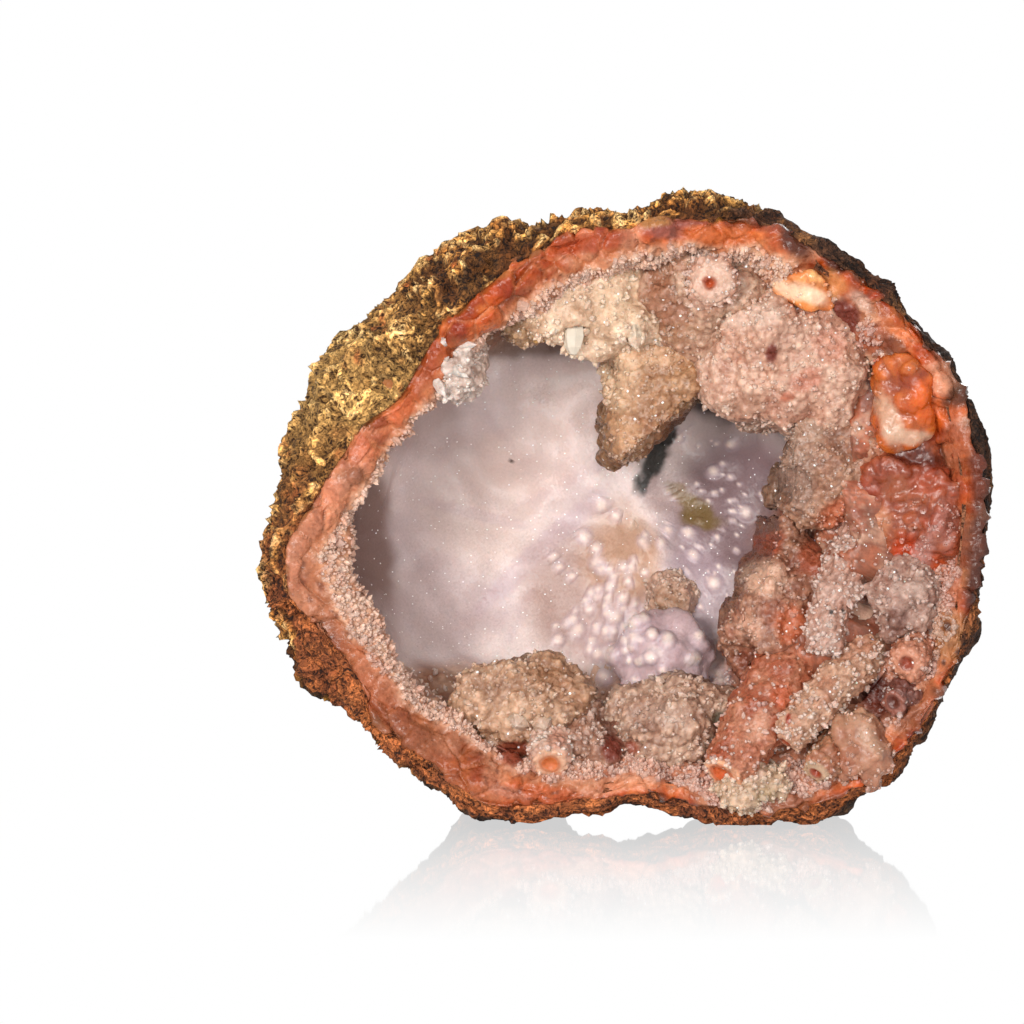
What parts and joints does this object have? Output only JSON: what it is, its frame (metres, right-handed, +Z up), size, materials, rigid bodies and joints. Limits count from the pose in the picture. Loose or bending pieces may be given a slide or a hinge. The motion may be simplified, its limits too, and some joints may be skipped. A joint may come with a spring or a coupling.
{
  "type": "quartz stalactite geode",
  "caption": "Broken half of a hollow agate geode standing on its edge, with a rough rind, an orange carnelian rim, a lilac bowl and quartz stalactites inside.",
  "frame": {"origin": "middle of the box round the object, on the ground it stands on", "axes": "+Z up, the open broken face towards -Y, +X to the right of someone who looks into it"},
  "size_m": [0.1052, 0.0532, 0.0911],
  "materials": {
    "rind_and_agate": "rough gold-brown rind, waxy orange and lilac agate inside",
    "beige_druse": "sugary, glittering",
    "brown_druse": "sugary, glittering",
    "white_druse": "sugary, glittering",
    "pink_druse": "sugary, glittering",
    "light_carnelian": "waxy, conchoidal",
    "orange_carnelian": "waxy, conchoidal",
    "salmon_agate": "waxy, glossy in its hollows",
    "salmon_druse": "sugary, glittering",
    "lilac_chalcedony": "satin, waxy",
    "clear_quartz": "glassy, clear"
  },
  "bodies": {
    "root": {"geode_shell": "rind_and_agate", "quartz_fan": "beige_druse", "druse_lump_brown": "brown_druse", "druse_tongue": "white_druse", "druse_crown": "pink_druse", "druse_curtain": "beige_druse", "stalactite_mass_pink": "pink_druse", "carnelian_chunk": "light_carnelian", "carnelian_lobe": "orange_carnelian", "druse_slope": "brown_druse", "salmon_shelf": "salmon_agate", "druse_knob": "brown_druse", "quartz_flange": "white_druse", "salmon_cluster": "salmon_druse", "quartz_shell_fan": "pink_druse", "druse_foot": "beige_druse", "druse_fan_bottom": "beige_druse", "druse_lump_bottom": "beige_druse", "druse_bed_bottom": "beige_druse", "chalcedony_lobe": "lilac_chalcedony", "stalactite_top": "pink_druse", "stalactite_white": "white_druse", "stalactite_salmon": "salmon_druse", "stalactite_long": "white_druse", "stalactite_ring_small": "salmon_druse", "stalactite_ring_right": "pink_druse", "stalactite_lilac": "lilac_chalcedony", "stalactite_bottom": "pink_druse", "teardrop_crystal": "clear_quartz"}
  },
  "joints": []
}
